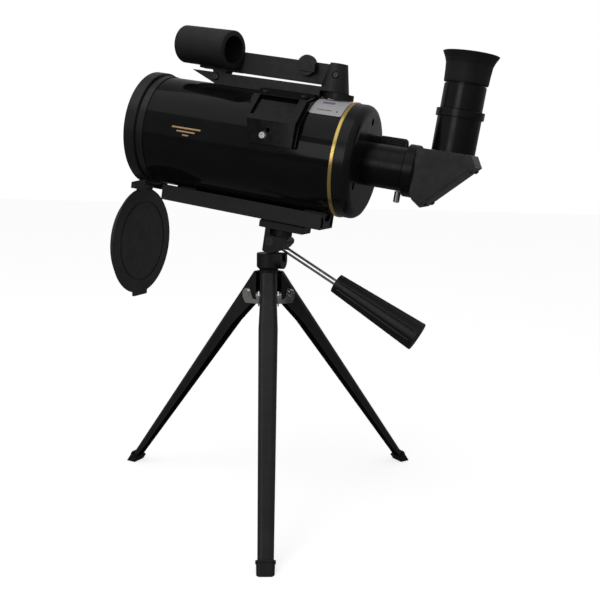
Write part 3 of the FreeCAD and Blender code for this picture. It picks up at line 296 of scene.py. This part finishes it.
def curved_patch(name, u_span, angle_span, radius, material, corner=0.0, thick=0.06):
    """A thin sheet lying on the optical tube: u along it in mm, angle in degrees from the near side up."""
    u_low, u_high = u_span
    angle_low, angle_high = (math.radians(a) for a in angle_span)
    columns, rows = 32, 40
    mesh = bmesh.new()
    grid = []
    for i in range(columns + 1):
        share = 0.5 - 0.5 * math.cos(math.pi * i / columns)
        u = u_low + (u_high - u_low) * share
        gap = corner - min(u - u_low, u_high - u, corner)
        inset = (corner - math.sqrt(corner ** 2 - gap ** 2)) / radius if corner else 0.0
        line = []
        for j in range(rows + 1):
            angle = angle_low + inset + (angle_high - angle_low - 2 * inset) * j / rows
            line.append(mesh.verts.new(tube_point(u, -radius * math.cos(angle), radius * math.sin(angle))))
        grid.append(line)
    for i in range(columns):
        for j in range(rows):
            mesh.faces.new((grid[i][j], grid[i][j + 1], grid[i + 1][j + 1], grid[i + 1][j]))
    bmesh.ops.recalc_face_normals(mesh, faces=mesh.faces)
    data = bpy.data.meshes.new(name)
    mesh.to_mesh(data)
    mesh.free()
    piece = bpy.data.objects.new(name, data)
    bpy.context.scene.collection.objects.link(piece)
    solid = piece.modifiers.new("thickness", "SOLIDIFY")
    solid.thickness = thick * 0.001
    solid.offset = 0.0
    for face in data.polygons:
        face.use_smooth = True
    data.materials.append(material)
    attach(piece, "scope")
    return piece


def paper(name, colour, dirt):
    """Printed film or paper, also used for the painted shade on the label: fine fibres and a few stains."""
    t = Tree(name)
    fibre = t.noise(700.0, 4.0)
    stain = t.span(t.noise(90.0, 4.0), 0.5, 0.8, 0.0, dirt)
    darker = tuple(c * 0.8 for c in colour[:3]) + (1.0,)
    t.colour(t.mix(stain, t.mix(fibre, colour, tuple(c * 0.95 for c in colour[:3]) + (1.0,)), darker))
    t.rough(t.span(fibre, 0.3, 0.7, 0.32, 0.42))
    t.bump(fibre, 0.3, 0.00001, 0.0001)
    return t.material


# A blank label and plain marks stand where the printed marks are. The tinted bar on the label is not print:
# it is painted shade of the finder's wheel.
TUBE_RADIUS = 48.6
LABEL_PAPER = paper("label_paper", (0.80, 0.79, 0.82, 1.0), 0.3)
LABEL_INK = paper("label_ink", (0.05, 0.04, 0.06, 1.0), 0.1)
LABEL_WHEEL_SHADE = paper("label_wheel_shade", (0.42, 0.30, 0.45, 1.0), 0.1)
BADGE_GOLD = metal("badge_gold", (0.80, 0.56, 0.30, 1.0), 0.35, stain=0.3)

curved_patch("tube_label", (44.8, 73.4), (45.0, 101.0), TUBE_RADIUS + 0.13, LABEL_PAPER,
             corner=2.0, thick=0.12)
curved_patch("tube_label_rule", (50.0, 63.5), (51.5, 52.4), TUBE_RADIUS + 0.22, LABEL_INK)
curved_patch("tube_label_dot", (67.4, 69.0), (50.6, 52.5), TUBE_RADIUS + 0.22, LABEL_INK, corner=0.6)
# Painted shade: a dark purplish bar on the label where the finder's wheel darkens it.
curved_patch("tube_label_wheel_shade", (51.0, 62.0), (64.0, 69.0), TUBE_RADIUS + 0.22, LABEL_WHEEL_SHADE, corner=1.2)
curved_patch("badge_bar_1", (-73.0, -45.0), (6.1, 7.7), TUBE_RADIUS + 0.06, BADGE_GOLD)
curved_patch("badge_bar_2", (-68.0, -50.0), (2.6, 4.1), TUBE_RADIUS + 0.06, BADGE_GOLD)
curved_patch("badge_bar_3", (-62.0, -56.0), (-0.9, 0.6), TUBE_RADIUS + 0.06, BADGE_GOLD)


# ---------------------------------------------------------------- floor, light, camera

FLOOR_SIZE = 12.0
FLOOR_GLOW = 0.72
WALL_LIGHT = 0.28

# The camera sees a lit white floor; the telescope's reflections see a dimmer one.
bpy.ops.mesh.primitive_plane_add(size=FLOOR_SIZE, location=(0, 0, 0))
floor = bpy.context.object
floor.name = "floor"
floor_tree = Tree("floor_paper")
seen = floor_tree.new("ShaderNodeLightPath").outputs["Is Camera Ray"]
paper_white = floor_tree.new("ShaderNodeBsdfDiffuse")
floor_tree.feed(paper_white.inputs["Color"], floor_tree.mix(floor_tree.noise(3.0), grey(0.86), grey(0.90)))
backlight = floor_tree.new("ShaderNodeEmission")
backlight.inputs["Strength"].default_value = FLOOR_GLOW
lit_paper = floor_tree.new("ShaderNodeAddShader")
floor_tree.links.new(paper_white.outputs[0], lit_paper.inputs[0])
floor_tree.links.new(backlight.outputs[0], lit_paper.inputs[1])
floor_tree.colour(floor_tree.mix(floor_tree.noise(3.0), grey(0.28), grey(0.32)))
floor_tree.rough(floor_tree.span(floor_tree.noise(8.0), 0.3, 0.7, 0.75, 0.9))
floor_choice = floor_tree.new("ShaderNodeMixShader")
floor_tree.links.new(seen, floor_choice.inputs[0])
floor_tree.links.new(floor_tree.shader.outputs[0], floor_choice.inputs[1])
floor_tree.links.new(lit_paper.outputs[0], floor_choice.inputs[2])
floor_tree.links.new(floor_choice.outputs[0], floor_tree.nodes["Material Output"].inputs["Surface"])
floor.data.materials.append(floor_tree.material)

# The studio walls look white; the light they give the telescope is dimmer.
world = bpy.data.worlds.new("studio")
bpy.context.scene.world = world
world.use_nodes = True
walls = world.node_tree.nodes["Background"]
walls.inputs["Color"].default_value = (1, 1, 1, 1)
wall_rays = world.node_tree.nodes.new("ShaderNodeLightPath")
wall_strength = world.node_tree.nodes.new("ShaderNodeMapRange")
wall_strength.inputs["To Min"].default_value = WALL_LIGHT
wall_strength.inputs["To Max"].default_value = 1.0
world.node_tree.links.new(wall_rays.outputs["Is Camera Ray"], wall_strength.inputs["Value"])
world.node_tree.links.new(wall_strength.outputs["Result"], walls.inputs["Strength"])
bpy.context.scene.view_settings.view_transform = "Standard"


def soft_light(name, place, aim, width, height, power):
    """A rectangular studio lamp that faces the point it is aimed at."""
    data = bpy.data.lights.new(name, "AREA")
    data.shape = "RECTANGLE"
    data.size, data.size_y = width, height
    data.energy = power
    lamp = bpy.data.objects.new(name, data)
    bpy.context.scene.collection.objects.link(lamp)
    lamp.location = place
    lamp.rotation_mode = "QUATERNION"
    lamp.rotation_quaternion = (Vector(aim) - Vector(place)).to_track_quat("-Z", "Y")
    return lamp


soft_light("top_softbox", (-0.3, -0.6, 1.5), (0, 0, 0.25), 1.2, 1.2, 2.4)
soft_light("front_softbox", (-0.21, -1.45, 0.65), (0, 0, 0.30), 0.6, 0.7, 1.7)

# The camera looks at the near side from a little behind and above, turned slightly about its line of sight.
CAMERA_DISTANCE = 0.72592
CAMERA_LENS = 47.95
CAMERA_AZIMUTH = math.radians(20.75)
CAMERA_ELEVATION = math.radians(9.07)
CAMERA_ROLL = math.radians(0.62)
TARGET_HEIGHT = 0.18558
TARGET_BESIDE_PAN = 0.03091

pan_spot = Vector(JOINTS["head_pan"]["pos_m"])
target = Vector((pan_spot.x + TARGET_BESIDE_PAN, pan_spot.y, TARGET_HEIGHT))
level = math.cos(CAMERA_ELEVATION)
sine, cosine = math.sin(CAMERA_AZIMUTH), math.cos(CAMERA_AZIMUTH)
back = Vector((sine * level, -cosine * level, math.sin(CAMERA_ELEVATION)))
right = Vector((cosine, sine, 0))
up = back.cross(right)
turned_right = right * math.cos(CAMERA_ROLL) + up * math.sin(CAMERA_ROLL)
turned_up = up * math.cos(CAMERA_ROLL) - right * math.sin(CAMERA_ROLL)
camera_data = bpy.data.cameras.new("camera")
camera_data.lens = CAMERA_LENS
camera_data.sensor_width = 36.0
camera = bpy.data.objects.new("camera", camera_data)
bpy.context.scene.collection.objects.link(camera)
rotation = Matrix((turned_right, turned_up, back)).transposed().to_4x4()
camera.matrix_world = Matrix.Translation(target + back * CAMERA_DISTANCE) @ rotation
bpy.context.scene.camera = camera
